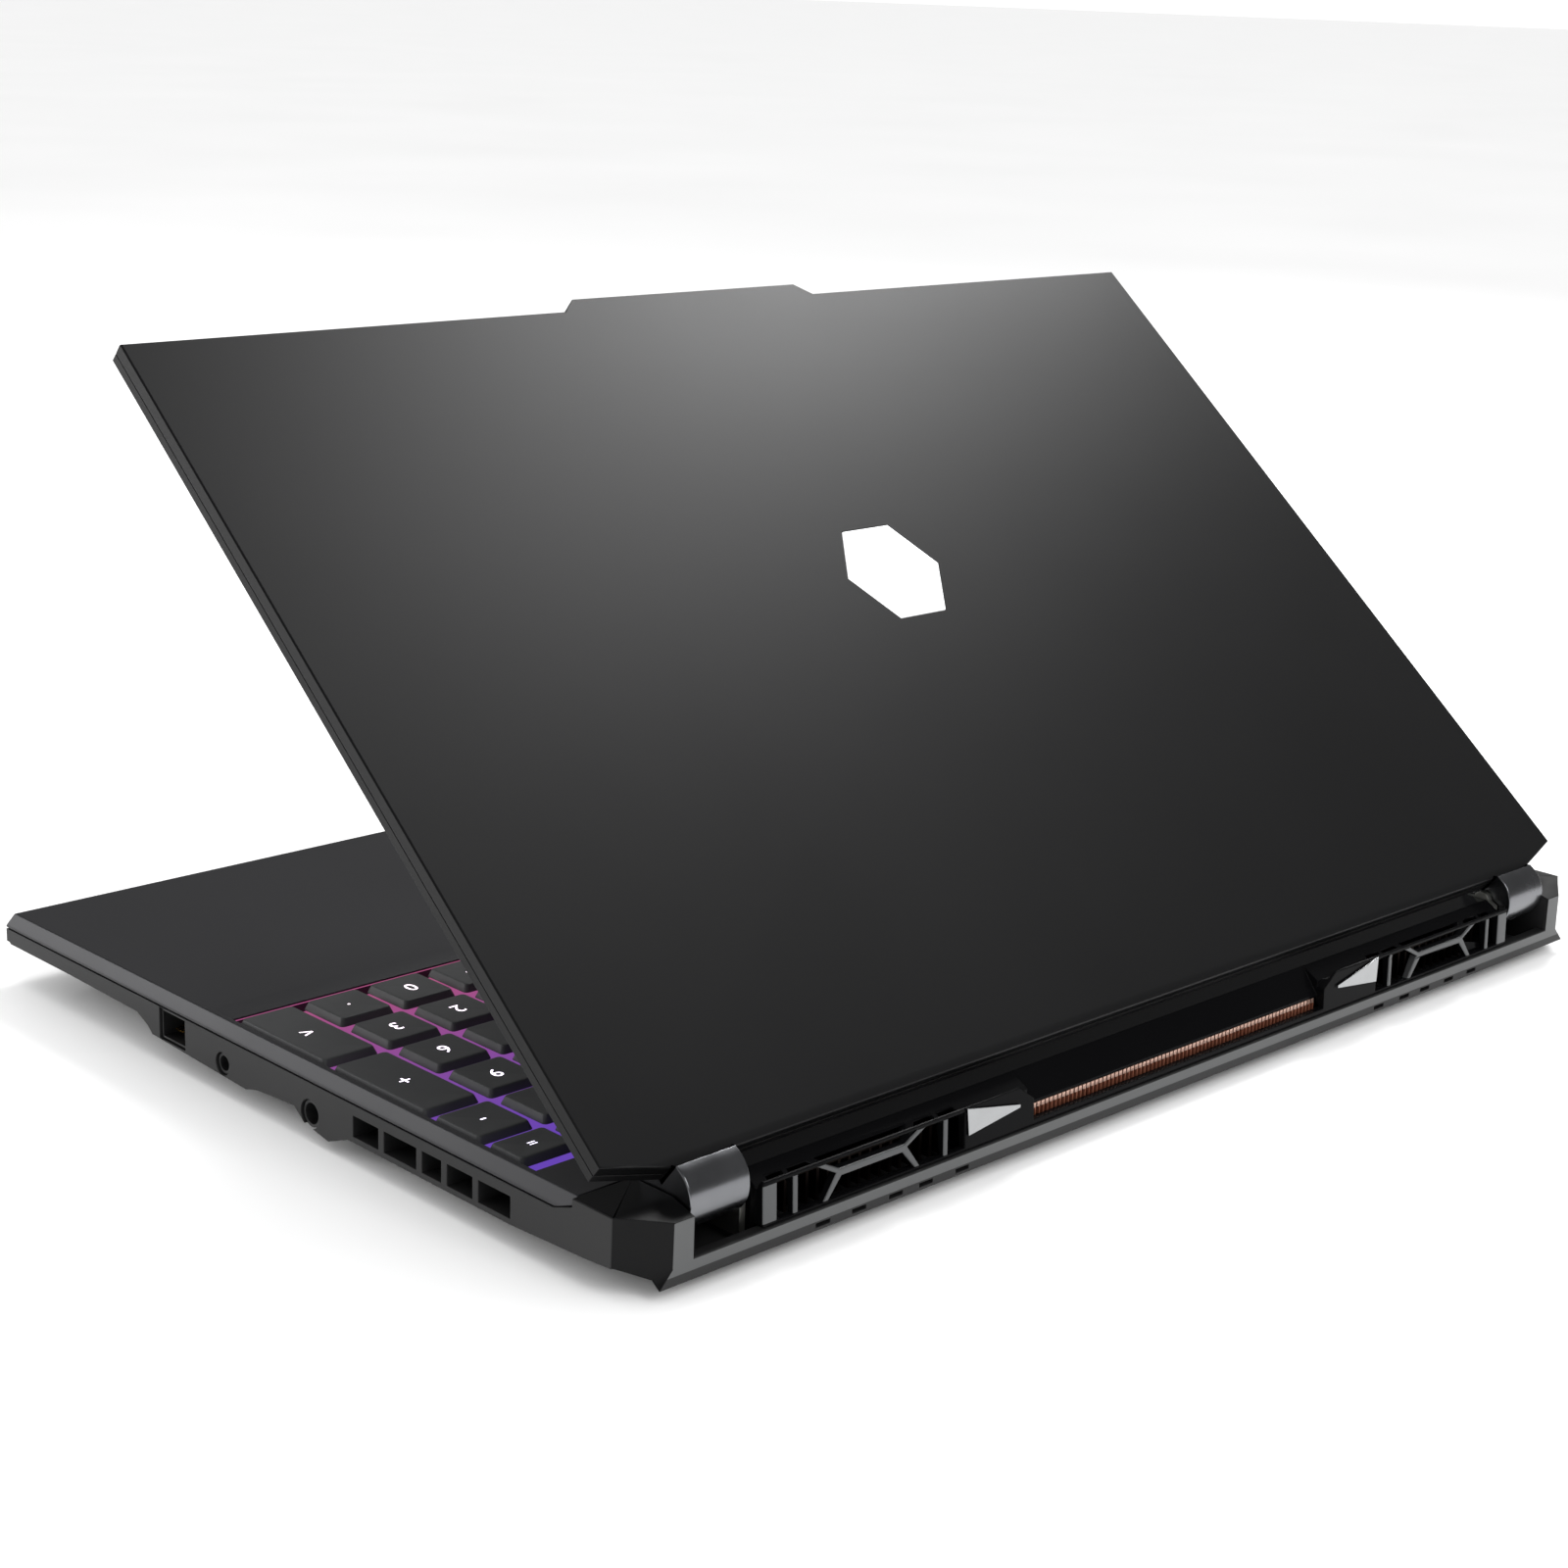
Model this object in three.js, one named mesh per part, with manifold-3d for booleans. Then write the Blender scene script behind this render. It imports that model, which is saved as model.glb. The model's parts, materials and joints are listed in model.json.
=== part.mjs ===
// Gaming laptop, lid held 40 degrees open. Millimetres, +Z up, the user sits on the -Y side.
// The origin is the middle of the footprint on the surface that the laptop stands on.
import * as THREE from "three";
import { mergeVertices } from "three/addons/utils/BufferGeometryUtils.js";
import Module from "manifold-3d";

const wasm = await Module();
wasm.setup();

// Driving dimensions
const HALF_WIDTH = 180;
const FRONT = -126;
const REAR = 126;
const DECK_TOP = 19.2;
const DECK_EDGE = 178.3;
const CREASE_Z = 15.8;
const SEAM_Z = 15.2;
const FLOOR_BOTTOM = 2;
const WALL = 1.6;
const FIT_GAP = 0.3;
const LID_OPEN = THREE.MathUtils.degToRad(40.05);
const HINGE_Y = 116;
const HINGE_Z = 18.5;
const LID_LENGTH = 233.9;
const LID_THICKNESS = 5.6;
const LID_TOP = 25.62;
const LID_HINGE_EDGE = 113.5;
const BARREL_RADIUS = 8.2;
const BARREL_INNER = 146.3;
const BARREL_OUTER = 163.3;
const CHEEK_INNER = 141.2;
const CHEEK_OUTER = 164;
const CHEEK_THICKNESS = 2.3;
const SHROUD_FRONT = 106;
const LIP_TOP = 8;
const CREST_TOP = 18.5;
const KEY_PITCH = 18.65;
const KEY_GAP = 2.9;
const KEY_TOP = 18.9;
const KEY_HEIGHT = 2;
const TRAY_TOP = 15;
const ROW_EDGES = [-25, -5.7, 13.3, 32.4, 51.6, 70.8, 85.8];
const WELL_FRONT = -25.8;
const WELL_REAR = 91;
const WELL_HALF = 177.2;
const SLOPE_LENGTH = 7;
const SLOPE_DROP = 1.3;
const FAN = { x: 118, y: 66, bore: 33, ring: 31, eye: 20, hub: 11, inlet: 24, blades: 19 };
const FIN_HALF = 57;
const FIN_TOP = 11.8;
const FIN_FOOT = 7.4;
const FIN_REAR = 122.6;
const LIP_UNDERCUT_Z = 3.2;
const SOCKET_MOUTH = 179.4;
const SOCKET_BACK = 163;
const SOCKET_SKIN = 2;

const FINISH = {
  shell: { color: 0x2d2d2f, roughness: 0.55, metalness: 0.6 },
  black: { color: 0x121213, roughness: 0.45, metalness: 0.1 },
  cap: { color: 0x2a2b2d, roughness: 0.6, metalness: 0.0 },
  silver: { color: 0xc4c5c7, roughness: 0.22, metalness: 1.0 },
  steel: { color: 0x8d8f93, roughness: 0.35, metalness: 1.0 },
  copper: { color: 0xb4552f, roughness: 0.35, metalness: 1.0 },
  board: { color: 0x15241c, roughness: 0.6, metalness: 0.0 },
  rubber: { color: 0x1a1a1a, roughness: 0.9, metalness: 0.0 },
  lamp: { color: 0xf4f6ff, roughness: 0.4, metalness: 0.0 },
  screen: { color: 0x05060a, roughness: 0.15, metalness: 0.0 },
};

// Solids: geometry to manifold and back, joined and cut
function toSolid(geometry) {
  const bare = geometry.clone();
  bare.deleteAttribute("normal");
  bare.deleteAttribute("uv");
  const merged = mergeVertices(bare, 1e-4);
  const vertProperties = new Float32Array(merged.attributes.position.array);
  const triVerts = new Uint32Array(merged.index.array);
  return new wasm.Manifold(new wasm.Mesh({ numProp: 3, vertProperties, triVerts }));
}

function toGeometry(solid) {
  const mesh = solid.getMesh();
  const geometry = new THREE.BufferGeometry();
  geometry.setAttribute("position", new THREE.BufferAttribute(mesh.vertProperties, 3));
  geometry.setIndex(new THREE.BufferAttribute(mesh.triVerts, 1));
  geometry.computeVertexNormals();
  return geometry;
}

function join(...geometries) {
  return toGeometry(geometries.map(toSolid).reduce((sum, next) => sum.add(next)));
}

function cut(geometry, ...tools) {
  return toGeometry(tools.map(toSolid).reduce((rest, tool) => rest.subtract(tool), toSolid(geometry)));
}

function overlap(a, b) {
  return toGeometry(toSolid(a).intersect(toSolid(b)));
}

// Basic shapes, given by their limits in the laptop's own axes
function block(x0, x1, y0, y1, z0, z1) {
  const geometry = new THREE.BoxGeometry(x1 - x0, y1 - y0, z1 - z0);
  return geometry.translate((x0 + x1) / 2, (y0 + y1) / 2, (z0 + z1) / 2);
}

function extrudeOutline(points, depth) {
  const shape = new THREE.Shape(points.map(([u, v]) => new THREE.Vector2(u, v)));
  return new THREE.ExtrudeGeometry(shape, { depth, bevelEnabled: false });
}

function alongX(pointsYZ, x0, x1) {
  const turn = new THREE.Matrix4().set(0, 0, 1, x0, 1, 0, 0, 0, 0, 1, 0, 0, 0, 0, 0, 1);
  return extrudeOutline(pointsYZ, x1 - x0).applyMatrix4(turn);
}

function alongY(pointsXZ, y0, y1) {
  const turn = new THREE.Matrix4().set(0, 1, 0, 0, 0, 0, 1, y0, 1, 0, 0, 0, 0, 0, 0, 1);
  return extrudeOutline(pointsXZ.map(([x, z]) => [z, x]), y1 - y0).applyMatrix4(turn);
}

function alongZ(pointsXY, z0, z1) {
  return extrudeOutline(pointsXY, z1 - z0).translate(0, 0, z0);
}

function rodX(radius, x0, x1, y, z, sides = 32) {
  const rod = new THREE.CylinderGeometry(radius, radius, x1 - x0, sides);
  return rod.rotateZ(Math.PI / 2).translate((x0 + x1) / 2, y, z);
}

function discZ(radius, z0, z1, x, y, sides = 32) {
  const disc = new THREE.CylinderGeometry(radius, radius, z1 - z0, sides);
  return disc.rotateX(Math.PI / 2).translate(x, y, (z0 + z1) / 2);
}

function mirrored(pointsUV) {
  return [...pointsUV, ...pointsUV.map(([u, v]) => [-u, v]).reverse()];
}

// Turns a right-hand piece into its left-hand twin.
function onSide(geometry, side) {
  return side > 0 ? geometry : toGeometry(toSolid(geometry).mirror([1, 0, 0]));
}

function flipX(points) {
  return points.map(([x, z]) => [-x, z]);
}

const base = new THREE.Group();
const lid = new THREE.Group();
const laptop = new THREE.Group();
laptop.add(base, lid);

// The lid is drawn closed and turned open about its hinge axis.
const lidShell = new THREE.Group();
lidShell.position.set(0, -HINGE_Y, -HINGE_Z);
lid.position.set(0, HINGE_Y, HINGE_Z);
lid.rotation.x = -LID_OPEN;
lid.add(lidShell);

function addPart(group, name, geometry, finish) {
  const mesh = new THREE.Mesh(geometry, new THREE.MeshStandardMaterial(finish));
  mesh.name = name;
  group.add(mesh);
}

// Sides: -1 is the user's left, +1 the user's right.
const SIDES = [["left", -1], ["right", 1]];

// Keyboard layout, front row first, widths in key pitches
const KEY_ROWS = [
  [1.25, 1, 1, 1.25, 5.5, 1, 1, 1, 1, 1, 1, 1, 1],
  [2.25, 1, 1, 1, 1, 1, 1, 1, 1, 1, 1, 1.75, 1, 1, 1, 1],
  [1.75, 1, 1, 1, 1, 1, 1, 1, 1, 1, 1, 1, 2.25, 1, 1, 1, 1],
  [1.5, 1, 1, 1, 1, 1, 1, 1, 1, 1, 1, 1, 1, 1.5, 1, 1, 1],
  [1, 1, 1, 1, 1, 1, 1, 1, 1, 1, 1, 1, 1, 2, 1, 1, 1, 1],
  Array(19).fill(1),
];
const LOOSE_KEYS = {
  "0:4": "key_space", "0:11": "key_0", "0:12": "key_decimal",
  "1:13": "key_1", "1:14": "key_2", "1:15": "key_3",
  "2:13": "key_4", "2:14": "key_5", "2:15": "key_6", "2:16": "key_plus",
  "3:14": "key_7", "3:15": "key_8", "3:16": "key_9",
};

function keyCap(x0, x1, y0, y1) {
  const taper = 0.9;
  const skirt = 0.6;
  const bottom = KEY_TOP - KEY_HEIGHT;
  const lower = block(x0, x1, y0, y1, bottom, bottom + skirt);
  const upper = new THREE.BoxGeometry(x1 - x0, y1 - y0, KEY_HEIGHT - skirt);
  const corners = upper.attributes.position;
  for (let i = 0; i < corners.count; i += 1) {
    if (corners.getZ(i) > 0) {
      corners.setX(i, corners.getX(i) - Math.sign(corners.getX(i)) * taper);
      corners.setY(i, corners.getY(i) - Math.sign(corners.getY(i)) * taper);
    }
  }
  upper.translate((x0 + x1) / 2, (y0 + y1) / 2, (bottom + skirt + KEY_TOP) / 2);
  return join(lower, upper);
}

function listKeys() {
  const keys = [];
  KEY_ROWS.forEach((widths, row) => {
    let x = -WELL_HALF + 0.05;
    widths.forEach((width, index) => {
      const x1 = x + width * KEY_PITCH;
      const tall = row === 2 && index === 16;
      keys.push({
        name: LOOSE_KEYS[`${row}:${index}`],
        limits: [x + KEY_GAP / 2, x1 - KEY_GAP / 2,
          ROW_EDGES[row] + KEY_GAP / 2, ROW_EDGES[tall ? row + 2 : row + 1] - KEY_GAP / 2],
      });
      x = x1;
    });
  });
  const lastColumn = -WELL_HALF + 0.05 + 18 * KEY_PITCH;
  keys.push({
    name: "key_enter",
    limits: [lastColumn + KEY_GAP / 2, lastColumn + KEY_PITCH - KEY_GAP / 2,
      ROW_EDGES[0] + KEY_GAP / 2, ROW_EDGES[2] - KEY_GAP / 2],
  });
  return keys;
}

function addKeyboard() {
  const keys = listKeys();
  keys.filter((key) => key.name).forEach((key) => {
    addPart(base, key.name, keyCap(...key.limits), FINISH.cap);
  });
  // The other caps are one piece: a thin sheet under their skirts joins them.
  const webBottom = KEY_TOP - KEY_HEIGHT;
  const span = WELL_HALF - 3;
  const sheet = block(-span, span, ROW_EDGES[0] + 3, ROW_EDGES[6] - 3, webBottom, webBottom + 0.4);
  const loose = keys.filter((key) => key.name).map(({ limits: [x0, x1, y0, y1] }) => (
    block(x0 - 2, x1 + 2, y0 - 2, y1 + 2, webBottom - 1, webBottom + 1)));
  const caps = keys.filter((key) => !key.name).map((key) => keyCap(...key.limits));
  addPart(base, "keycap_field", join(cut(sheet, ...loose), ...caps), FINISH.cap);
  const rimTop = DECK_TOP - WALL - 0.4;
  const tray = block(-177.8, 177.8, WELL_FRONT - 1.6, WELL_REAR + 1.6, TRAY_TOP - 1, TRAY_TOP);
  const rims = [WELL_FRONT - 1.6, WELL_REAR + 0.3].map((y) => (
    block(-177, 177, y, y + 1.3, TRAY_TOP - 1, rimTop)));
  addPart(base, "keyboard_tray", join(tray, ...rims), FINISH.black);
}

// Base shells
const TOUCHPAD = { x: -28, y: -78, width: 118, depth: 76 };
const POWER_KEY = { x: 0, y: 98.6, radius: 5 };
const PORTS = {
  ethernet: { side: 1, y0: -51.2, y1: -40.3, z0: 6.9, z1: 14.5 },
  audio: { side: 1, y: -23.7, z: 8.4, radius: 2.6 },
  power: { side: 1, y: 12.4, z: 7.2, radius: 3.3 },
  usb_a: { side: -1, y0: -20, y1: -6.5, z0: 7.4, z1: 13.2 },
  usb_c: { side: -1, y0: 2, y1: 11.2, z0: 8.6, z1: 11.9 },
  hdmi: { side: -1, y0: -48, y1: -32.8, z0: 8.2, z1: 13.4 },
};
const SIDE_VENTS = [[29.3, 39], [41, 53], [55, 62], [64, 73], [75, 86]];

function topCase() {
  const outline = [[-HALF_WIDTH, SEAM_Z], [-HALF_WIDTH, CREASE_Z], [-DECK_EDGE, DECK_TOP]];
  const sideOutline = [[FRONT, SEAM_Z], [100, SEAM_Z], [SHROUD_FRONT, 17.2],
    [SHROUD_FRONT, DECK_TOP], [FRONT + 1.8, DECK_TOP], [FRONT, CREASE_Z]];
  const body = overlap(alongY(mirrored(outline), FRONT, REAR), alongX(sideOutline, -200, 200));
  const hollow = [[-178.4, 10], [-178.4, 16], [-177.9, DECK_TOP - WALL]];
  const inside = alongY(mirrored(hollow), FRONT + WALL, REAR);
  const well = block(-WELL_HALF, WELL_HALF, WELL_FRONT, WELL_REAR, 10, 30);
  const { x, y, width, depth } = TOUCHPAD;
  const pad = block(x - width / 2, x + width / 2, y - depth / 2, y + depth / 2, 10, 30);
  const power = discZ(POWER_KEY.radius + 0.4, 10, 30, POWER_KEY.x, POWER_KEY.y, 24);
  // The strip in front of the well is sloped down into it.
  const slope = alongX([[WELL_FRONT - SLOPE_LENGTH, DECK_TOP + 0.01], [WELL_FRONT + 1, DECK_TOP + 0.01],
    [WELL_FRONT + 1, DECK_TOP - SLOPE_DROP]], -WELL_HALF, WELL_HALF);
  return cut(body, inside, well, pad, power, slope);
}

// Lower edge of the side wall, front to rear; the deep stretches hold the sockets.
const SIDE_EDGE = [[FRONT, 11.5], [-62, 10.5], [-57, 8.3], [-55, 6.6], [-14, 5], [-9, 6.3], [6, 7.3],
  [10, 4.4], [19.6, 2.8], [23.5, 4.3], [27.3, 5.8], [86, 5.9], [112, 7.2], [119, 7.8],
  [REAR, LIP_UNDERCUT_Z]];

function portCutter({ side, y0, y1, z0, z1, y, z, radius }) {
  const [x0, x1] = side > 0 ? [158, 190] : [-190, -158];
  return radius ? rodX(radius + FIT_GAP, x0, x1, y, z, 24)
    : block(x0, x1, y0 - FIT_GAP, y1 + FIT_GAP, z0 - FIT_GAP, z1 + FIT_GAP);
}

function bottomCase() {
  const wallTop = SEAM_Z - FIT_GAP;
  const sideOutline = [[FRONT, wallTop], [FRONT, 12.5], [-112, FLOOR_BOTTOM], [REAR - 5, FLOOR_BOTTOM],
    [REAR, LIP_UNDERCUT_Z], [REAR, 17.2], [119, DECK_TOP], [SHROUD_FRONT + FIT_GAP, DECK_TOP],
    [SHROUD_FRONT + FIT_GAP, 16.9], [SHROUD_FRONT, 16.9], [100, wallTop]];
  const section = [[-HALF_WIDTH, 30], [-HALF_WIDTH, 11], [-167, FLOOR_BOTTOM]];
  const tub = overlap(alongX(sideOutline, -HALF_WIDTH, HALF_WIDTH),
    alongY(mirrored(section), FRONT, REAR));
  const skirt = [...SIDE_EDGE, [REAR, 13], [FRONT, 13]];
  const skirts = [alongX(skirt, 150, HALF_WIDTH), alongX(skirt, -HALF_WIDTH, -150)];
  const hollowSection = [[-178.2, 30], [-178.2, 12.2], [-167, FLOOR_BOTTOM + WALL]];
  const hollow = overlap(alongY(mirrored(hollowSection), FRONT + WALL, SHROUD_FRONT - 1),
    alongX([[FRONT + WALL, 30], [FRONT + WALL, 13], [-111, FLOOR_BOTTOM + WALL],
      [REAR, FLOOR_BOTTOM + WALL], [REAR, 30]], -200, 200));
  const rearBay = block(-CHEEK_OUTER + 0.5, CHEEK_OUTER - 0.5, 104, REAR - 3, FLOOR_BOTTOM + WALL, 40);
  const overLip = block(-CHEEK_OUTER + 0.5, CHEEK_OUTER - 0.5, 120, 140, LIP_TOP, 40);
  // The rear corners are cut off, upright above the lip and flaring out below its top.
  const low = [[181, 118], [181, 127], [175.6, 127]].map(([x, y]) => [x, y, 0]);
  const high = [LIP_TOP, 40].flatMap((z) => [[181, 118.7, z], [181, 127, z], [167.9, 127, z]]);
  const corner = toGeometry(wasm.Manifold.hull([...low, ...high]));
  const corners = SIDES.map(([, side]) => onSide(corner, side));
  const ports = Object.values(PORTS).map(portCutter);
  const vents = SIDES.flatMap(([, side]) => SIDE_VENTS.map(([y0, y1]) => (
    side > 0 ? block(160, 190, y0, y1, 7.2, 12.4) : block(-190, -160, y0, y1, 7.2, 12.4))));
  const lipSlots = [81.8, 93.7, 103.4, 115, 126.1].flatMap((x) => [-x, x]).map((x) => (
    block(x - 2.2, x + 2.2, 118, 130, 3.9, 4.9)));
  const intake = [-1, 1].flatMap((side) => [-3, -2, -1, 0, 1, 2, 3].map((i) => (
    block(side * FAN.x - 26, side * FAN.x + 26, 62 + i * 8, 66 + i * 8, 0, FLOOR_BOTTOM + WALL + 0.1))));
  return cut(join(tub, ...skirts), hollow, rearBay, overLip, ...corners, ...ports, ...vents,
    ...lipSlots, ...intake);
}

// Rear exhaust shroud between the hinges, with the ribbed openings
const VENT_CELLS = [
  [[134.6, 8.9], [139.4, 8.9], [139.4, 17.4], [134.6, 17.4]],
  [[125.6, 8.9], [133.2, 8.9], [133.2, 17.4], [127.4, 17.4], [121.6, 14.4]],
  [[120.6, 15.2], [125, 17.5], [96, 17.5], [100.4, 15.2]],
  [[124, 8.9], [97, 8.9], [101, 13.5], [120, 13.5]],
  [[95.4, 8.9], [87.6, 8.9], [87.6, 17.4], [93.6, 17.4], [99.4, 14.4]],
  [[86.2, 8.9], [80.6, 8.9], [80.6, 17.4], [86.2, 17.4]],
];
const SHROUD_FOOT = 125.4;
const SLOT_BOTTOM = 9.5;

function rearShroud() {
  const outer = [[SHROUD_FRONT + FIT_GAP, DECK_TOP], [118, DECK_TOP], [123, 16.4], [124.35, 16.6],
    [124.35, CREST_TOP], [125, CREST_TOP], [SHROUD_FOOT, LIP_TOP + FIT_GAP],
    [123.8, LIP_TOP + FIT_GAP], [122.9, 15.6], [118, 17.6], [SHROUD_FRONT + FIT_GAP, 17.6]];
  const reach = CHEEK_INNER + CHEEK_THICKNESS;
  const shell = alongX(outer, -reach, reach);
  const cheekOutline = [[118.2, 17.5], [118.2, 4.2], [122.6, 4.2], [122.6, LIP_TOP + FIT_GAP],
    [SHROUD_FOOT, LIP_TOP + FIT_GAP], [125, CREST_TOP], [124.35, CREST_TOP], [123, 16.4]];
  const cheeks = SIDES.map(([, side]) => (
    onSide(alongX(cheekOutline, CHEEK_INNER, CHEEK_INNER + CHEEK_THICKNESS), side)));
  const cells = VENT_CELLS.flatMap((cell) => [cell, flipX(cell).reverse()]).map((cell) => (
    alongY(cell, 120, 130)));
  // In the middle the crest is dropped and the panel runs down to the copper fins.
  const scoop = alongY([[-78, 30], [-FIN_HALF, 14.8], [FIN_HALF, 14.8], [78, 30]], 122.95, 140);
  const finSlot = block(-FIN_HALF, FIN_HALF, 118, 130, SLOT_BOTTOM, 30);
  const panelOutline = [[116.5, 17.6], [117.2, 17.6], [121.9, FIN_TOP + 0.4], [122.9, FIN_TOP + 0.4],
    [122.9, FIN_TOP + 1], [118, DECK_TOP], [116.5, DECK_TOP]];
  const panel = alongX(panelOutline, -FIN_HALF - 0.5, FIN_HALF + 0.5);
  const endOutline = [[117.2, 17.6], [121.9, FIN_TOP + 0.4], [124.2, SLOT_BOTTOM], [124.2, 14.7],
    [122.9, 14.7], [122.9, 16.4], [118, DECK_TOP], [117.2, DECK_TOP]];
  const ends = SIDES.map(([, side]) => onSide(alongX(endOutline, FIN_HALF, FIN_HALF + 1.4), side));
  return join(cut(join(shell, ...cheeks), scoop, finSlot, ...cells), panel, ...ends);
}

function accentWedge(side) {
  const plate = alongY([[80.4, 18.4], [79.8, 11.8], [62.4, 14], [62.4, 14.8]], 120, 130);
  const skin = alongX([[125.1, CREST_TOP], [SHROUD_FOOT + 0.1, LIP_TOP + FIT_GAP],
    [SHROUD_FOOT + 0.6, LIP_TOP + FIT_GAP], [125.6, CREST_TOP]], -90, 90);
  return onSide(overlap(plate, skin), side);
}

// Cooling: fin stacks, fans and heat pipes
function finStack([x0, x1], [y0, y1], [z0, z1], count) {
  const sheet = 0.8;
  const plate = block(x0, x1, y0, y1, z1 - sheet, z1);
  const step = (x1 - x0) / count;
  const fins = Array.from({ length: count }, (_, i) => (
    block(x0 + i * step, x0 + i * step + sheet, y0, y1, z0, z1 - sheet / 2)));
  return join(plate, ...fins);
}

function fanHousing(side) {
  const x = side * FAN.x;
  const body = block(x - 40, x + 40, 24, 103, 4.2, 13.4);
  const bore = discZ(FAN.bore, 5.2, 20, x, FAN.y, 40);
  const outlet = block(x - 34, x + 34, 70, 110, 5.2, 12.4);
  const inlet = discZ(FAN.inlet, 0, 6, x, FAN.y, 40);
  return cut(body, bore, outlet, inlet);
}

function fanImpeller(side) {
  const x = side * FAN.x;
  const hub = discZ(FAN.hub, 6, 12.2, x, FAN.y, 24);
  const ring = cut(discZ(FAN.ring, 6, 6.8, x, FAN.y), discZ(FAN.eye, 0, 20, x, FAN.y, 24));
  const blade = block(FAN.hub - 1, FAN.ring - 0.5, -0.4, 0.4, 6.4, 12);
  const blades = Array.from({ length: FAN.blades }, (_, i) => (
    blade.clone().rotateZ((i * 2 * Math.PI) / FAN.blades).translate(x, FAN.y, 0)));
  return join(ring, hub, ...blades);
}

function heatPipes() {
  const plate = block(-52, 52, 20, 56, 9.3, 11);
  const route = [[-132, 105.5], [-76, 105.5], [-64, 96], [-44, 50], [44, 50], [64, 96], [76, 105.5],
    [132, 105.5]].map(([x, y]) => new THREE.Vector3(x, y, 12));
  const section = new THREE.Shape(Array.from({ length: 8 }, (_, i) => (
    new THREE.Vector2(1.5 * Math.cos((i * Math.PI) / 4), 1.5 * Math.sin((i * Math.PI) / 4)))));
  const path = new THREE.CatmullRomCurve3(route, false, "catmullrom", 0.2);
  return join(plate, new THREE.ExtrudeGeometry(section, { steps: 40, extrudePath: path }));
}

function addCooling() {
  addPart(base, "heatsink_center", finStack([-FIN_HALF + 0.6, FIN_HALF - 0.6], [114, FIN_REAR],
    [FIN_FOOT, FIN_TOP], 36), FINISH.copper);
  SIDES.forEach(([name, side]) => {
    const span = side > 0 ? [80, 139] : [-139, -80];
    addPart(base, `heatsink_${name}`, finStack(span, [108, 117.6], [5, 13.4], 18), FINISH.copper);
    addPart(base, `fan_housing_${name}`, fanHousing(side), FINISH.black);
    addPart(base, `fan_impeller_${name}`, fanImpeller(side), FINISH.black);
  });
}

// Electronics and power
function motherboard() {
  const board = block(-150, 72, -30, 22, 5.4, 6.6);
  const tongue = block(-74, 74, 20, 100, 5.4, 6.6);
  const chips = [[-30, 38, 14], [24, 38, 16], [-60, -4, 9], [10, 2, 8]].map(([x, y, s]) => (
    block(x - s, x + s, y - s, y + s, 6, 9)));
  return join(board, tongue, ...chips);
}

function batteryPack() {
  const cells = [-75, -25, 25, 75].map((x) => block(x - 24, x + 24, -108, -38, 4.4, 11));
  return join(block(-99, 99, -106, -40, 4, 10), ...cells);
}

function addElectronics() {
  addPart(base, "motherboard", motherboard(), FINISH.board);
  addPart(base, "battery_pack", batteryPack(), FINISH.black);
  addPart(base, "ssd_module", join(block(80, 102, -30, 22, 5.4, 6.4), block(82, 100, -26, 16, 6, 8)),
    FINISH.board);
  addPart(base, "memory_module", join(block(-46, 22, -26, -12, 7.4, 8.4),
    block(-40, 16, -24, -16, 8, 9.6)), FINISH.board);
  addPart(base, "wifi_card", join(block(108, 130, -28, 2, 5.4, 6.4), block(110, 128, -24, -8, 6, 8.2)),
    FINISH.board);
  SIDES.forEach(([name, side]) => {
    const x = side * 132;
    const speaker = block(x - 24, x + 24, -96, -66, 4.4, 12);
    const cone = discZ(9, 10.6, 20, x, -81, 24);
    addPart(base, `speaker_${name}`, cut(speaker, cone), FINISH.black);
  });
}

// Sockets in the side walls
function boxSocket({ side, y0, y1, z0, z1 }, tongue, tongueZ = (z0 + z1) / 2) {
  const skin = 0.5;
  const shell = block(SOCKET_BACK, SOCKET_MOUTH, y0, y1, z0, z1);
  const mouth = block(SOCKET_BACK + SOCKET_SKIN, 190, y0 + skin, y1 - skin, z0 + skin, z1 - skin);
  const plate = block(SOCKET_BACK + 1, SOCKET_MOUTH - 2.4, y0 + tongue, y1 - tongue,
    tongueZ - 0.5, tongueZ + 0.5);
  return onSide(join(cut(shell, mouth), plate), side);
}

function roundSocket({ side, y, z, radius }, pinRadius) {
  const shell = rodX(radius, SOCKET_BACK, SOCKET_MOUTH, y, z, 24);
  const body = cut(shell, rodX(radius - 0.7, SOCKET_BACK + SOCKET_SKIN, 190, y, z, 24));
  const pin = pinRadius && rodX(pinRadius, SOCKET_BACK + 1, SOCKET_MOUTH - 3.4, y, z, 12);
  return onSide(pin ? join(body, pin) : body, side);
}

function addSockets() {
  addPart(base, "ethernet_jack", boxSocket(PORTS.ethernet, 2.5, PORTS.ethernet.z1 - 1.6), FINISH.black);
  addPart(base, "usb_a_port", boxSocket(PORTS.usb_a, 1.2), FINISH.steel);
  addPart(base, "usb_c_port", boxSocket(PORTS.usb_c, 1.4), FINISH.steel);
  addPart(base, "hdmi_port", boxSocket(PORTS.hdmi, 2), FINISH.steel);
  addPart(base, "audio_jack", roundSocket(PORTS.audio, 0), FINISH.black);
  addPart(base, "power_inlet", roundSocket(PORTS.power, 0.6), FINISH.black);
}

// Controls in the deck, feet, and the base half of each hinge
function addControls() {
  const { x, y, width, depth } = TOUCHPAD;
  addPart(base, "touchpad", block(x - width / 2 + 0.4, x + width / 2 - 0.4, y - depth / 2 + 0.4,
    y + depth / 2 - 0.4, DECK_TOP - 1.8, DECK_TOP - 0.2), FINISH.black);
  const cap = discZ(POWER_KEY.radius, DECK_TOP - 2.2, DECK_TOP + 0.2, POWER_KEY.x, POWER_KEY.y, 24);
  addPart(base, "power_button", cap, FINISH.cap);
}

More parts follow.
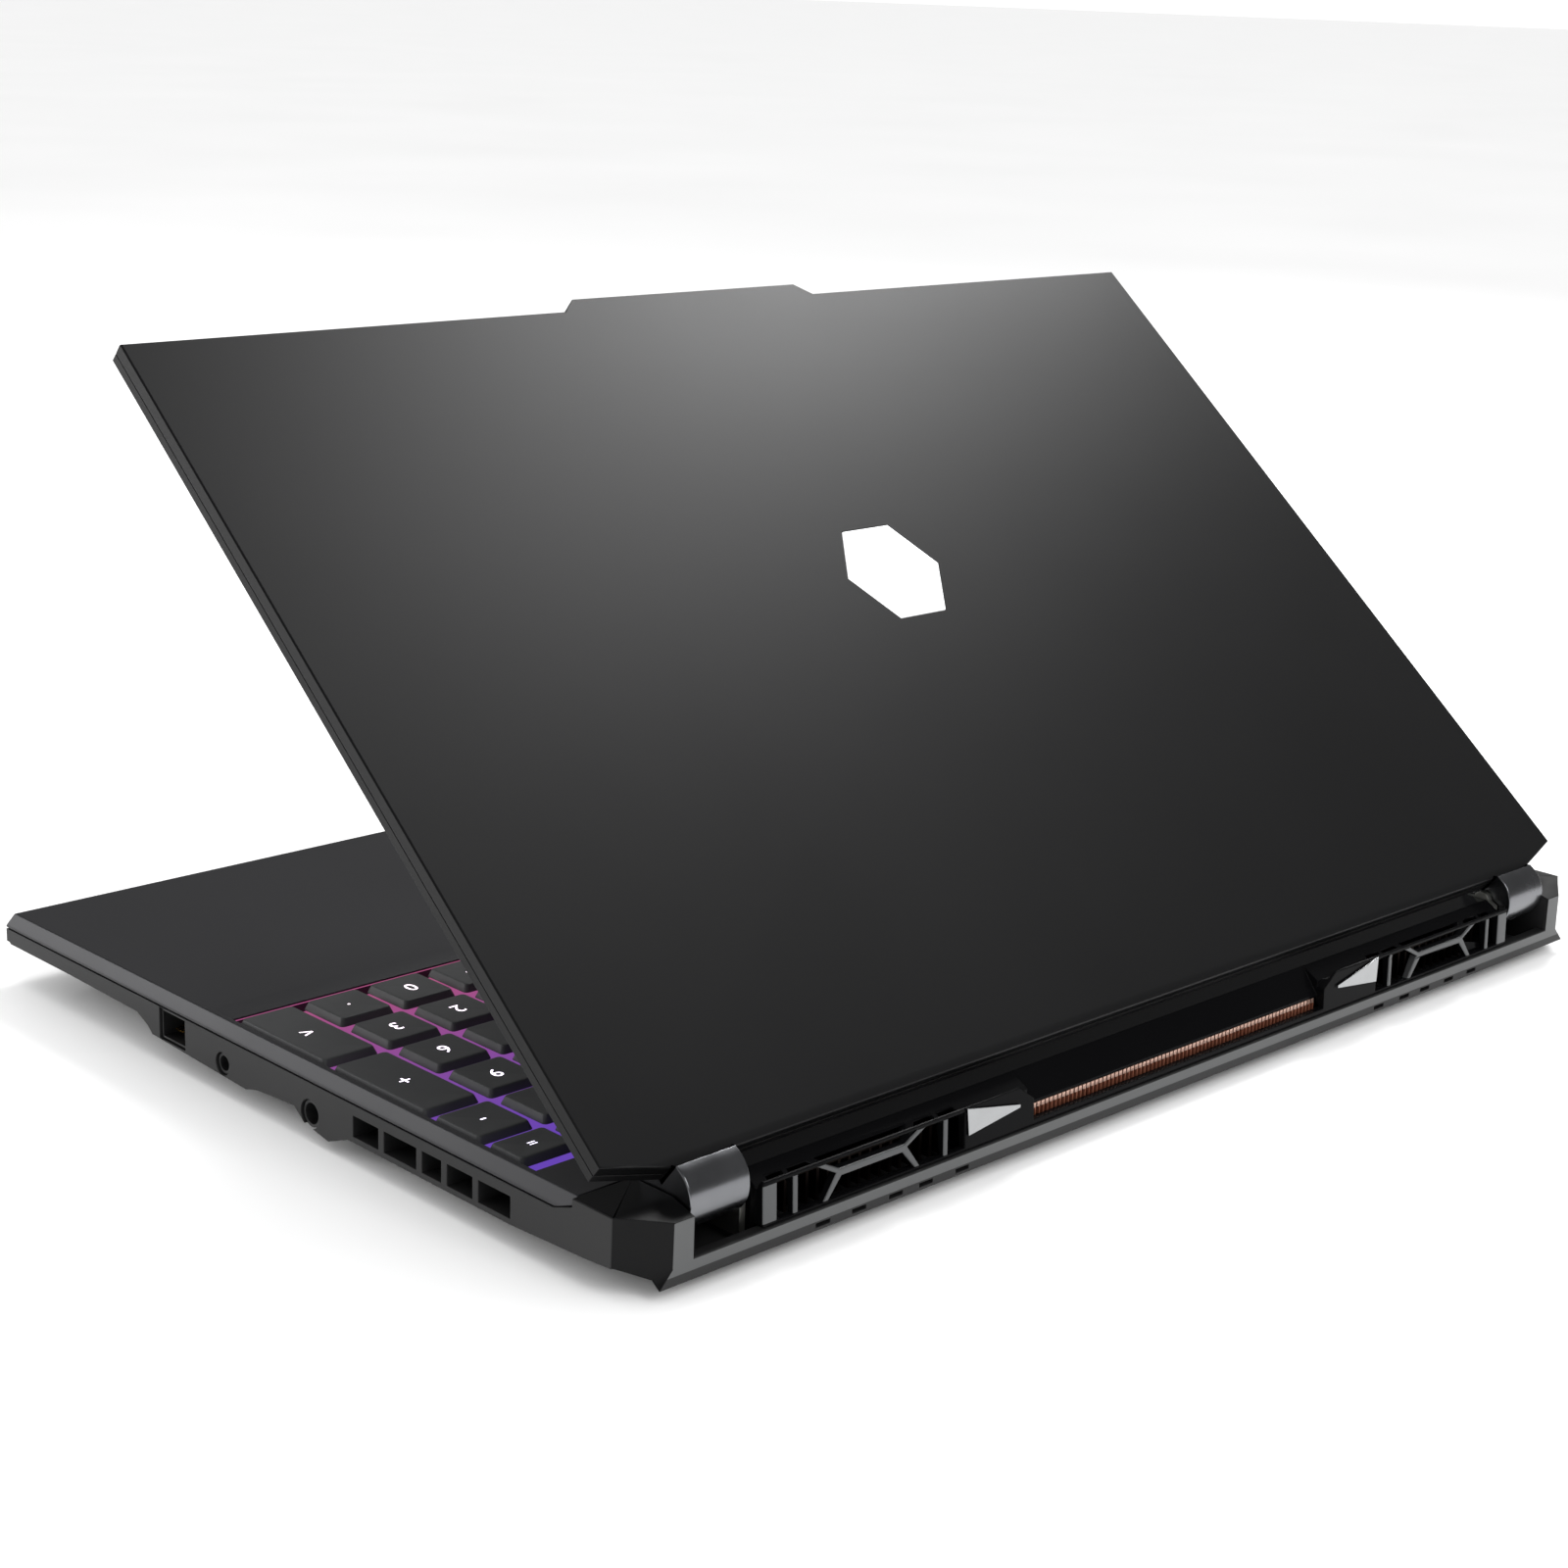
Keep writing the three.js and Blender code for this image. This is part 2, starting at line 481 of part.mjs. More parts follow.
function addFeet() {
  const foot = (x0, x1, y0, y1) => {
    const inset = 1.2;
    return join(block(x0, x1, y0, y1, 1, 1.7),
      block(x0 + inset, x1 - inset, y0 + inset, y1 - inset, 0, 1.2));
  };
  addPart(base, "foot_front_left", foot(-150, -96, -104, -95), FINISH.rubber);
  addPart(base, "foot_front_right", foot(96, 150, -104, -95), FINISH.rubber);
  addPart(base, "foot_rear", foot(-140, 140, 110, 119), FINISH.rubber);
}

function hingeBracket(side) {
  const profile = [[107, 5.2], [120.5, 5.2], [120.5, 17.6], [118, 19], [107, 19]];
  const leaf = alongX(profile, 144.2, 145.8);
  const eye = rodX(2.4, 144.2, 145.8, HINGE_Y, HINGE_Z, 24);
  const riser = block(144.2, 145.8, 103.5, 110, 5.2, 15.2);
  const flange = block(144.2, 160, 96, 108, 14, 15.2);
  const pin = rodX(1.8, 144.2, 160, HINGE_Y, HINGE_Z, 24);
  return onSide(join(leaf, eye, riser, flange, pin), side);
}

// Lid, drawn closed
const EMBLEM = { x: -5, y: -22, reach: 17 };

function lidOutline(inset) {
  const half = HALF_WIDTH - inset;
  const top = LID_HINGE_EDGE - LID_LENGTH + inset;
  const bottom = LID_HINGE_EDGE - inset;
  return [[-half + 17.6, bottom], [-half, bottom - 5], [-half, top], [-46, top], [-41, top - 4.2],
    [41, top - 4.2], [46, top], [half, top], [half, bottom - 5], [half - 17.6, bottom]].reverse();
}

function lidCover() {
  const under = LID_TOP - LID_THICKNESS;
  const shell = alongZ(lidOutline(0), under, LID_TOP);
  const tray = block(-HALF_WIDTH + 2, HALF_WIDTH - 2, LID_HINGE_EDGE - LID_LENGTH + 2,
    LID_HINGE_EDGE - 7, under - 1, LID_TOP - 1.5);
  const emblemHole = alongZ(emblemOutline(FIT_GAP), LID_TOP - 0.8, LID_TOP + 1);
  const bevel = alongX([[LID_HINGE_EDGE - 2.4, LID_TOP + 0.01], [LID_HINGE_EDGE + 0.1, LID_TOP - 0.62],
    [LID_HINGE_EDGE + 0.1, LID_TOP + 0.01]], -HALF_WIDTH, HALF_WIDTH);
  return cut(shell, tray, emblemHole, bevel);
}

function emblemOutline(grow) {
  const { x, y, reach } = EMBLEM;
  return Array.from({ length: 6 }, (_, i) => (
    [x + (reach + grow) * Math.cos((i * Math.PI) / 3), y + (reach + grow) * Math.sin((i * Math.PI) / 3)]));
}

function screenBezel() {
  const under = LID_TOP - LID_THICKNESS;
  const top = LID_HINGE_EDGE - LID_LENGTH;
  const frame = block(-HALF_WIDTH + 2.4, HALF_WIDTH - 2.4, top + 2.4, LID_HINGE_EDGE - 7.4,
    under - 0.1, under + 1.1);
  return cut(frame, block(-172, 172, top + 9, top + 9 + 194, 0, 40));
}

function addLid() {
  const under = LID_TOP - LID_THICKNESS;
  const top = LID_HINGE_EDGE - LID_LENGTH;
  addPart(lidShell, "lid_cover", lidCover(), FINISH.shell);
  addPart(lidShell, "lid_emblem", alongZ(emblemOutline(0), LID_TOP - 0.5, LID_TOP + 0.1), FINISH.lamp);
  addPart(lidShell, "screen_bezel", screenBezel(), FINISH.black);
  addPart(lidShell, "lcd_panel", block(-173.5, 173.5, top + 7, top + 205, under + 1.4, LID_TOP - 1.8),
    FINISH.screen);
  addPart(lidShell, "webcam_module", cut(block(-20, 20, top + 2.6, top + 6.6, under + 1.4, LID_TOP - 1.8),
    discZ(1.4, 0, under + 2.2, 0, top + 4.6, 16)), FINISH.black);
}

function hingeBarrel(side) {
  const barrel = rodX(BARREL_RADIUS, BARREL_INNER, BARREL_OUTER, HINGE_Y, HINGE_Z, 48);
  const bore = rodX(2.1, 140, 160.6, HINGE_Y, HINGE_Z, 24);
  const lidZone = block(0, 200, 90, LID_HINGE_EDGE + FIT_GAP, LID_TOP - LID_THICKNESS - FIT_GAP, 40);
  return onSide(cut(barrel, bore, lidZone), side);
}

addPart(base, "bottom_case", bottomCase(), FINISH.shell);
addPart(base, "top_case", topCase(), FINISH.shell);
addPart(base, "rear_shroud", rearShroud(), FINISH.black);
SIDES.forEach(([name, side]) => {
  addPart(base, `accent_wedge_${name}`, accentWedge(side), FINISH.silver);
  addPart(base, `hinge_bracket_${name}`, hingeBracket(side), FINISH.steel);
  addPart(lidShell, `hinge_barrel_${name}`, hingeBarrel(side), FINISH.steel);
});
addKeyboard();
addCooling();
addPart(base, "heat_pipes", heatPipes(), FINISH.copper);
addElectronics();
addSockets();
addControls();
addFeet();
addLid();

export default laptop;
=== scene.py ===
import json
from math import radians

import bmesh
import bpy
from mathutils import Matrix, Vector


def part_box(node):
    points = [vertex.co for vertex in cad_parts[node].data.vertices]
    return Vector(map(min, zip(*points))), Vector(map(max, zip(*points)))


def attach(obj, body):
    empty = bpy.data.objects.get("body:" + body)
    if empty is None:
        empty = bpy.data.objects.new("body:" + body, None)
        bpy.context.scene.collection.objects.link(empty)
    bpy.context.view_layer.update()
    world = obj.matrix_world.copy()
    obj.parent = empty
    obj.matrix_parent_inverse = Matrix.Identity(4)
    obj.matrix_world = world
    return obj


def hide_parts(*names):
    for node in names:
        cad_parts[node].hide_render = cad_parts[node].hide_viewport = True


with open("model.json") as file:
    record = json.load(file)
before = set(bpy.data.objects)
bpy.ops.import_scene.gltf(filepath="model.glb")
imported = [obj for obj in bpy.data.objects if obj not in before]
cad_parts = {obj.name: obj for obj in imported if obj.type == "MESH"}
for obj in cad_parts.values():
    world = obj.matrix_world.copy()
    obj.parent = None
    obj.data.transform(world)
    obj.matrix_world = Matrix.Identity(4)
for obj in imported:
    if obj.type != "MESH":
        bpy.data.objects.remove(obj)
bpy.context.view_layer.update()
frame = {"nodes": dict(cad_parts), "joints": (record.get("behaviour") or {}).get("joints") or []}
MM = 0.001

# View: a long lens looks down on the laptop from behind its right-hand corner.
# The lens is shifted down a little, so that the laptop sits in the middle of the frame.
camera_data = bpy.data.cameras.new("view_camera")
camera_data.sensor_width = 36
camera_data.lens = 64.2
camera_data.shift_x = 0.0003
camera_data.shift_y = -0.0333
camera = bpy.data.objects.new("view_camera", camera_data)
camera.location = (0.52276, 0.51336, 0.26237)
camera.rotation_euler = (radians(74.968), radians(-1.814), radians(136.045))
bpy.context.scene.collection.objects.link(camera)
bpy.context.scene.camera = camera
bpy.context.scene.view_settings.view_transform = "Standard"


# Studio: a white room that is dim in reflections, a pale floor and soft boxes.
# The floor is painted board with a fine tooth.
def colour(code):
    """An sRGB hex value as a linear colour."""
    parts = [int(code[i:i + 2], 16) / 255 for i in (1, 3, 5)]
    return [p / 12.92 if p <= 0.04045 else ((p + 0.055) / 1.055) ** 2.4 for p in parts] + [1.0]


def add_node(tree, kind, settings=None, links=None):
    """Adds a shader node with its settings; links holds plain values or the sockets that feed it."""
    node = tree.nodes.new("ShaderNode" + kind)
    for name, value in (settings or {}).items():
        setattr(node, name, value)
    for socket, value in (links or {}).items():
        if isinstance(value, bpy.types.NodeSocket):
            tree.links.new(value, node.inputs[socket])
        else:
            node.inputs[socket].default_value = value
    return node


def grained(name, tones, patch, roughness, grain, depth, edge=0.25, **constants):
    """A material of two tones in soft patches, with a fine grain and softened edges; sizes in mm."""
    material = bpy.data.materials.new(name)
    material.use_nodes = True
    tree = material.node_tree
    shader = tree.nodes["Principled BSDF"]
    place = add_node(tree, "TexCoord").outputs["Object"]
    patches = add_node(tree, "TexNoise", {}, {"Vector": place, "Scale": 1 / (patch * MM), "Detail": 4.0})
    tone = add_node(tree, "Mix", {"data_type": "RGBA"},
                    {0: patches.outputs[0], 6: colour(tones[0]), 7: colour(tones[1])})
    sheen = add_node(tree, "MapRange", {}, {"Value": patches.outputs[0], "From Min": 0.3,
                                            "From Max": 0.7, "To Min": roughness[0], "To Max": roughness[1]})
    tooth = add_node(tree, "TexNoise", {}, {"Vector": place, "Scale": 1 / (grain * MM), "Detail": 2.0})
    rounded = add_node(tree, "Bevel", {"samples": 4}, {"Radius": edge * MM})
    relief = add_node(tree, "Bump", {}, {"Height": tooth.outputs[0], "Distance": depth * MM,
                                         "Strength": 0.6, "Normal": rounded.outputs[0]})
    tree.links.new(tone.outputs[2], shader.inputs["Base Color"])
    tree.links.new(sheen.outputs[0], shader.inputs["Roughness"])
    tree.links.new(relief.outputs[0], shader.inputs["Normal"])
    for socket, value in constants.items():
        shader.inputs[socket.replace("_", " ")].default_value = value
    return material


world = bpy.data.worlds.new("studio_world")
bpy.context.scene.world = world
world.use_nodes = True
ROOM_LIGHT = 1.12
ROOM_IN_REFLECTIONS = 0.17
ray = add_node(world.node_tree, "LightPath")
room = add_node(world.node_tree, "MapRange", {}, {"Value": ray.outputs["Is Glossy Ray"],
                                                  "To Min": ROOM_LIGHT, "To Max": ROOM_IN_REFLECTIONS})
world.node_tree.nodes["Background"].inputs["Color"].default_value = (1, 1, 1, 1)
world.node_tree.links.new(room.outputs[0], world.node_tree.nodes["Background"].inputs["Strength"])

FLOOR_SIZE = 60
bpy.ops.mesh.primitive_plane_add(size=FLOOR_SIZE)
floor = bpy.context.object
floor.name = "studio_floor"
floor.data.materials.append(grained("painted_board", ("#f4f4f4", "#f7f7f7"), 400, (0.7, 0.8), 2, 0.02))


def add_softbox(name, place, target, size, watts):
    """A square area light that faces its target."""
    data = bpy.data.lights.new(name, "AREA")
    data.size = size
    data.energy = watts
    box = bpy.data.objects.new(name, data)
    box.location = place
    box.rotation_euler = (Vector(target) - Vector(place)).to_track_quat("-Z", "Y").to_euler()
    bpy.context.scene.collection.objects.link(box)


add_softbox("overhead_softbox", (-1.04, -0.36, 1.1), (0, -0.05, 0.15), 0.46, 13)
add_softbox("side_softbox", (1.0, -1.25, 0.45), (0.17, 0, 0.02), 0.5, 6)
add_softbox("rear_softbox", (0.2, 1.6, 1.3), (0, 0.1, 0), 0.9, 14)


# Lower shell: one moulding of glass-filled plastic, painted charcoal, with the floor, the side walls
# with their port and vent openings, the rear lip and the blocks outside each hinge.
def select_only(piece):
    """Leaves object mode, selects one piece and makes it active."""
    if bpy.context.object and bpy.context.object.mode != "OBJECT":
        bpy.ops.object.mode_set(mode="OBJECT")
    bpy.ops.object.select_all(action="DESELECT")
    piece.select_set(True)
    bpy.context.view_layer.objects.active = piece


def pick(piece, kind, test):
    """Goes to edit mode with only those faces or edges selected that pass the test."""
    select_only(piece)
    bpy.ops.object.mode_set(mode="EDIT")
    bpy.ops.mesh.select_mode(type=kind)
    bpy.ops.mesh.select_all(action="DESELECT")
    shape = bmesh.from_edit_mesh(piece.data)
    for item in shape.faces if kind == "FACE" else shape.edges:
        if test(item):
            item.select_set(True)
    shape.select_flush_mode()
    bmesh.update_edit_mesh(piece.data)


def middle(edge):
    """The middle of an edge, in millimetres."""
    return (edge.verts[0].co + edge.verts[1].co) / 2 / MM


def is_sharp(edge, length=3, angle=20):
    """True for an edge of that length in mm or more where two faces meet at that angle or more."""
    return (len(edge.link_faces) == 2 and edge.calc_length() > length * MM
            and edge.calc_face_angle() > radians(angle))


def finish_piece(piece, material, body, slot, *replaced):
    """Back in object mode: shading, material, body and the frame nodes it stands for; slot is not used."""
    select_only(piece)
    bpy.ops.object.transform_apply(location=True, rotation=True, scale=True)
    bpy.ops.object.shade_smooth_by_angle(angle=radians(32))
    even = piece.modifiers.new("even", "WEIGHTED_NORMAL")
    even.keep_sharp = True
    bpy.ops.object.modifier_apply(modifier="even")
    if material:
        piece.data.materials.clear()
        piece.data.materials.append(material)
    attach(piece, body)
    if replaced:
        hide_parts(*replaced)


def refine(name, node, width, chosen=is_sharp, segments=2):
    """A copy of a frame node with its facets merged and the chosen edges rounded, width in mm."""
    piece = bpy.data.objects.new(name, frame["nodes"][node].data.copy())
    bpy.context.scene.collection.objects.link(piece)
    select_only(piece)
    bpy.ops.object.mode_set(mode="EDIT")
    bpy.ops.mesh.select_all(action="SELECT")
    bpy.ops.mesh.remove_doubles(threshold=0.002 * MM)
    bpy.ops.mesh.dissolve_limited(angle_limit=radians(0.4))
    pick(piece, "EDGE", chosen)
    bpy.ops.mesh.bevel(offset=width * MM, segments=segments, affect="EDGES", clamp_overlap=False)
    return piece


# Where the lip and the hinge blocks begin, in mm.
LIP_CREASE_Z = 5.3
LIP_FACE_Y = 125
BLOCK_FRONT_Y = 106
BLOCK_INNER_X = 163
BLOCK_SHOULDER_Z = 16
SKIRT_TOP_Z = 7.6
shell_paint = grained("charcoal_painted_plastic", ("#191919", "#1f1f20"), 60, (0.42, 0.5), 0.5, 0.02,
                      edge=0.4, IOR=1.5, Specular_IOR_Level=0.3)
lip_paint = grained("satin_grey_lip_paint", ("#4e4f50", "#585959"), 40, (0.35, 0.42), 0.4, 0.01,
                    edge=0.35, Metallic=0.4)
# The rear and top faces of the blocks outside each hinge are painted near-black: painted shade for the shadow
# that falls on them.
block_painted_shade = grained("block_painted_shade_black", ("#060607", "#0a0a0b"), 30, (0.4, 0.5), 0.5, 0.02,
                        edge=0.5, IOR=1.5, Specular_IOR_Level=0.15)
lower_shell = refine("lower_shell", "bottom_case", 0.35,
                     lambda edge: is_sharp(edge, 6) and middle(edge).y > BLOCK_FRONT_Y - 1
                     and middle(edge).z > SKIRT_TOP_Z)
pick(lower_shell, "FACE",
     lambda face: face.normal.y > 0.9 and face.calc_center_median().y > LIP_FACE_Y * MM)
bpy.ops.mesh.bisect(plane_co=(0, 0, LIP_CREASE_Z * MM), plane_no=(0, 0, 1))
finish_piece(lower_shell, shell_paint, "base", "shell_base", "bottom_case")
lower_shell.data.materials.append(lip_paint)
lower_shell.data.materials.append(block_painted_shade)
for face in lower_shell.data.polygons:
    place = face.center / MM
    if face.normal.y > 0.9 and place.y > LIP_FACE_Y and place.z > LIP_CREASE_Z:
        face.material_index = 1
    # Painted shade: the blocks' rear and top faces get the near-black material.
    elif (place.y > BLOCK_FRONT_Y and abs(place.x) > BLOCK_INNER_X
          and (place.z > BLOCK_SHOULDER_Z or face.normal.y > 0.3)):
        face.material_index = 2

# Deck: the pressed aluminium top of the base, bead-blasted and anodised charcoal, with a slanted edge
# strip round three sides that ends in a crisp crease above the side walls.
deck_metal = grained("bead_blasted_anodised_aluminium", ("#2c2c2e", "#343437"), 90, (0.38, 0.46), 0.35, 0.012,
                     edge=0.2, Metallic=0.4)
# The slanted strip lies outside these places, in mm.
STRIP_X = 177.9
STRIP_Y = -123.8
deck = refine("deck", "top_case", 0.3,
              lambda edge: is_sharp(edge, 6) and (abs(middle(edge).x) > STRIP_X or middle(edge).y < STRIP_Y))
finish_piece(deck, deck_metal, "base", "shell_base", "top_case")

# Rear shroud: a glossy black moulding that bridges the hinges. Its scooped top runs down to the fins, and
# satin grey ribs cross its two outlets. Only the ribs' faces inside the outlets are painted grey.
# Where the ribs and the outlets begin and end, in mm.
RIB_FACE_Y = 124.2
OUTLET_INNER_X = 78
RIB_INNER_X = 86
RIB_HEIGHTS = (8.95, 17.4)
gloss_black = grained("gloss_black_moulding", ("#060607", "#09090a"), 50, (0.16, 0.24), 0.8, 0.004,
                      edge=0.5, IOR=1.3, Specular_IOR_Level=0.1)
rib_paint = grained("satin_grey_rib_paint", ("#4a4b4c", "#545556"), 40, (0.3, 0.38), 0.4, 0.01,
                    edge=0.35, Metallic=0.6)
shroud = refine("rear_shroud_moulding", "rear_shroud", 0.25,
                lambda edge: is_sharp(edge, 3, 30) and middle(edge).y > RIB_FACE_Y - 0.6
                and abs(middle(edge).x) > OUTLET_INNER_X)
for x in (-RIB_INNER_X, RIB_INNER_X):
    pick(shroud, "FACE", lambda face: True)
    bpy.ops.mesh.bisect(plane_co=(x * MM, 0, 0), plane_no=(1, 0, 0))
for z in RIB_HEIGHTS:
    pick(shroud, "FACE", lambda face: face.calc_center_median().y > RIB_FACE_Y * MM)
    bpy.ops.mesh.bisect(plane_co=(0, 0, z * MM), plane_no=(0, 0, 1))
finish_piece(shroud, gloss_black, "base", "black_plastic", "rear_shroud")
shroud.data.materials.append(rib_paint)
for face in shroud.data.polygons:
    place = face.center / MM
    if (place.y > RIB_FACE_Y and abs(place.x) > RIB_INNER_X
            and RIB_HEIGHTS[0] < place.z < RIB_HEIGHTS[1]):
        face.material_index = 1

# Accent wedges: two die-cast triangles, chromed satin. They stand on the shroud at the ends of the
# fin slot and point at each other.
satin_chrome = grained("satin_chromed_zinc", ("#9b9c9d", "#b4b5b6"), 12, (0.2, 0.28), 0.5, 0.004,
                       edge=0.1, Metallic=1.0)
for side in ("left", "right"):
    wedge = refine(f"chrome_wedge_{side}", f"accent_wedge_{side}", 0.1, lambda edge: is_sharp(edge, 1, 30))
    finish_piece(wedge, satin_chrome, "base", "bright_trim", f"accent_wedge_{side}")

# Centre fins: thin copper sheets folded over at the top, stacked side by side across the slot.
fin_low, fin_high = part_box("heatsink_center")
FIN_PITCH = 1.5 * MM
FIN_SHEET = 0.35 * MM
FOLD = 1.2 * MM
FOLD_GAP = 0.45 * MM
fin_count = int((fin_high.x - fin_low.x) / FIN_PITCH)
bpy.ops.mesh.primitive_cube_add(size=1, location=(fin_low.x + FIN_SHEET / 2, (fin_low.y + fin_high.y) / 2,
                                                  (fin_low.z + fin_high.z) / 2))
fins = bpy.context.object
fins.name = "copper_fin_stack"
fins.scale = (FIN_SHEET, fin_high.y - fin_low.y, fin_high.z - fin_low.z)
bpy.ops.object.transform_apply(location=True, rotation=False, scale=True)
pick(fins, "FACE", lambda face: True)
bpy.ops.mesh.bisect(plane_co=(0, 0, fin_high.z - FOLD), plane_no=(0, 0, 1))
pick(fins, "FACE", lambda face: face.normal.x > 0.9 and face.calc_center_median().z > fin_high.z - FOLD)
bpy.ops.mesh.extrude_region_move(TRANSFORM_OT_translate={"value": (FIN_PITCH - FIN_SHEET - FOLD_GAP, 0, 0)})
select_only(fins)
stack = fins.modifiers.new("stack", "ARRAY")
stack.count = fin_count
stack.use_relative_offset = False
stack.use_constant_offset = True
stack.constant_offset_displace = (FIN_PITCH, 0, 0)
bpy.ops.object.modifier_apply(modifier="stack")
copper = grained("bare_stamped_copper", ("#96553f", "#c08067"), 3, (0.24, 0.42), 0.4, 0.006,
                 edge=0.08, Metallic=0.55)
finish_piece(fins, copper, "base", "copper", "heatsink_center")
# The folded tops of the fins are painted pale copper: a painted highlight along their top edge.
fold_painted_highlight = grained("copper_fold_painted_highlight", ("#cfa391", "#e6c5b5"), 3, (0.25, 0.4), 0.4, 0.006,
                      edge=0.08, Metallic=0.8)
fins.data.materials.append(fold_painted_highlight)
for face in fins.data.polygons:
    if face.center.z > fin_high.z - FOLD:
        face.material_index = 1

# Side fins, fans and heat pipes: copper fins deep inside the outlets, painted near-black as painted shade of
# the deep outlets, bare copper pipes that feed them, and fans of glass-filled plastic.
def dress(material, *names):
    """Gives frame nodes that keep their own shape their finish."""
    for name in names:
        node = frame["nodes"][name]
        node.data.materials.clear()
        node.data.materials.append(material)


# Painted shade: the side fins are painted near-black for the shade deep inside the outlets.
shade_dark_copper = grained("copper_painted_shade_dark", ("#14100e", "#241a16"), 6, (0.4, 0.55), 0.5, 0.01, Metallic=0.9)
fan_plastic = grained("glass_filled_fan_plastic", ("#0d0d0e", "#161617"), 20, (0.5, 0.6), 0.4, 0.02)
dress(shade_dark_copper, "heatsink_left", "heatsink_right")
dress(copper, "heat_pipes")
dress(fan_plastic, "fan_housing_left", "fan_housing_right", "fan_impeller_left", "fan_impeller_right")

# Hinges: turned aluminium barrels with a satin anodised skin, round the steel brackets' pins.
# The turning marks are fine rings along each barrel.
turned_metal = grained("turned_anodised_aluminium", ("#707174", "#828386"), 8, (0.2, 0.28), 0.5, 0.006,
                       edge=0.2, Metallic=1.0)
bracket_steel = grained("zinc_plated_steel", ("#8a8a86", "#a3a39d"), 10, (0.3, 0.45), 0.6, 0.01, Metallic=1.0)
TURNING_PITCH = 0.35
tree = turned_metal.node_tree
marks = add_node(tree, "TexWave", {"bands_direction": "X"},
                 {"Vector": tree.nodes["Texture Coordinate"].outputs["Object"],
                  "Scale": 1 / (TURNING_PITCH * MM) / 20, "Distortion": 0.4})
lathe = add_node(tree, "Bump", {}, {"Height": marks.outputs[1], "Distance": 0.004 * MM, "Strength": 0.5,
                                    "Normal": tree.nodes["Bump"].outputs[0]})
tree.links.new(lathe.outputs[0], tree.nodes["Principled BSDF"].inputs["Normal"])
for side in ("left", "right"):
    barrel = refine(f"turned_barrel_{side}", f"hinge_barrel_{side}", 0.4,
                    lambda edge: is_sharp(edge, 0.5, 40) and abs(edge.verts[0].co.x - edge.verts[1].co.x)
                    < 0.1 * MM, segments=3)
    finish_piece(barrel, turned_metal, "lid", "hinge_metal", f"hinge_barrel_{side}")
dress(bracket_steel, "hinge_bracket_left", "hinge_bracket_right")

# Keyboard: a light guide lies under the keys and shows in the gaps between them. Its lamps run from
# rose at the front to violet at the rear.
guide_low, guide_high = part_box("keyboard_tray")
GLOW_STOPS = ((0.0, "#c9537c"), (0.35, "#a8489a"), (0.7, "#8240b4"), (1.0, "#6a38c8"))


def glow(material, strength, whiten):
    """Lets a material shine in the lamp colour of its place, mixed with white."""
    tree = material.node_tree
    place = tree.nodes["Texture Coordinate"].outputs["Object"]
    along = add_node(tree, "VectorMath", {"operation": "DOT_PRODUCT"}, {0: place, 1: (0.12, 1.0, 0.0)})
    share = add_node(tree, "MapRange", {}, {"Value": along.outputs["Value"], "From Min": guide_low.y,
                                            "From Max": guide_high.y})
    lamps = add_node(tree, "ValToRGB", {}, {"Fac": share.outputs[0]})
    ramp = lamps.color_ramp
    while len(ramp.elements) < len(GLOW_STOPS):
        ramp.elements.new(0.5)
    for element, (position, code) in zip(ramp.elements, GLOW_STOPS):
        element.position = position
        element.color = colour(code)
    pale = add_node(tree, "Mix", {"data_type": "RGBA"}, {0: whiten, 6: lamps.outputs[0], 7: (1, 1, 1, 1)})
    facing = add_node(tree, "SeparateXYZ", {}, {0: add_node(tree, "NewGeometry").outputs["True Normal"]})
    upward = add_node(tree, "Math", {"operation": "GREATER_THAN"}, {0: facing.outputs["Z"], 1: 0.5})
    shown = add_node(tree, "Mix", {"data_type": "RGBA"}, {0: upward.outputs[0], 6: (0, 0, 0, 1),
                                                          7: pale.outputs[2]})
    shader = tree.nodes["Principled BSDF"]
    tree.links.new(shown.outputs[2], shader.inputs["Emission Color"])
    shader.inputs["Emission Strength"].default_value = strength
    return material


GUIDE_GLOW = 0.75
GUIDE_WHITENESS = 0.04
light_guide = glow(grained("frosted_acrylic_light_guide", ("#161418", "#1d1a20"), 10, (0.4, 0.6), 0.6, 0.02,
                           IOR=1.49), GUIDE_GLOW, GUIDE_WHITENESS)
dress(light_guide, "keyboard_tray")

# Keycaps: 101 moulded ABS caps with a shallow dish, tapered sides and laser-etched legends that let the
# light through. One cap is modelled for each size and copied to its places.
# The rows from front to rear: widths in key pitches, and one legend for each key.
KEY_ROWS = (
    ((1.25, 1, 1, 1.25, 5.5, 1, 1, 1, 1, 1, 1, 1, 1), "-.*--.- <v>0."),
    ((2.25,) + 10 * (1,) + (1.75, 1, 1, 1, 1), "^ZXCVBNM,./^^123"),
    ((1.75,) + 11 * (1,) + (2.25, 1, 1, 1, 1), "=ASDFGHJKL;'-456+"),
    ((1.5,) + 12 * (1,) + (1.5, 1, 1, 1), "=QWERTYUIOP[]/789"),
    (13 * (1,) + (2, 1, 1, 1, 1), "'1234567890-=<#/*-"),
    (19 * (1,), "x::::::::::::.+-<>="),
)
LOOSE_KEYS = {(0, 4): "space", (0, 11): "0", (0, 12): "decimal", (1, 13): "1", (1, 14): "2", (1, 15): "3",
              (2, 13): "4", (2, 14): "5", (2, 15): "6", (2, 16): "plus", (3, 14): "7", (3, 15): "8",
              (3, 16): "9"}
KEY_GAP = 2.9 * MM
FUNCTION_ROW = 12.1 * MM
field_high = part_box("keycap_field")[1]
key_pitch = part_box("key_2")[0].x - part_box("key_1")[0].x
row_fronts = [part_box(f"key_{name}")[0].y for name in ("0", "1", "4", "7")]
row_fronts += [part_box("key_7")[1].y + KEY_GAP, field_high.y - FUNCTION_ROW]
row_backs = [front - KEY_GAP for front in row_fronts[1:]] + [field_high.y]

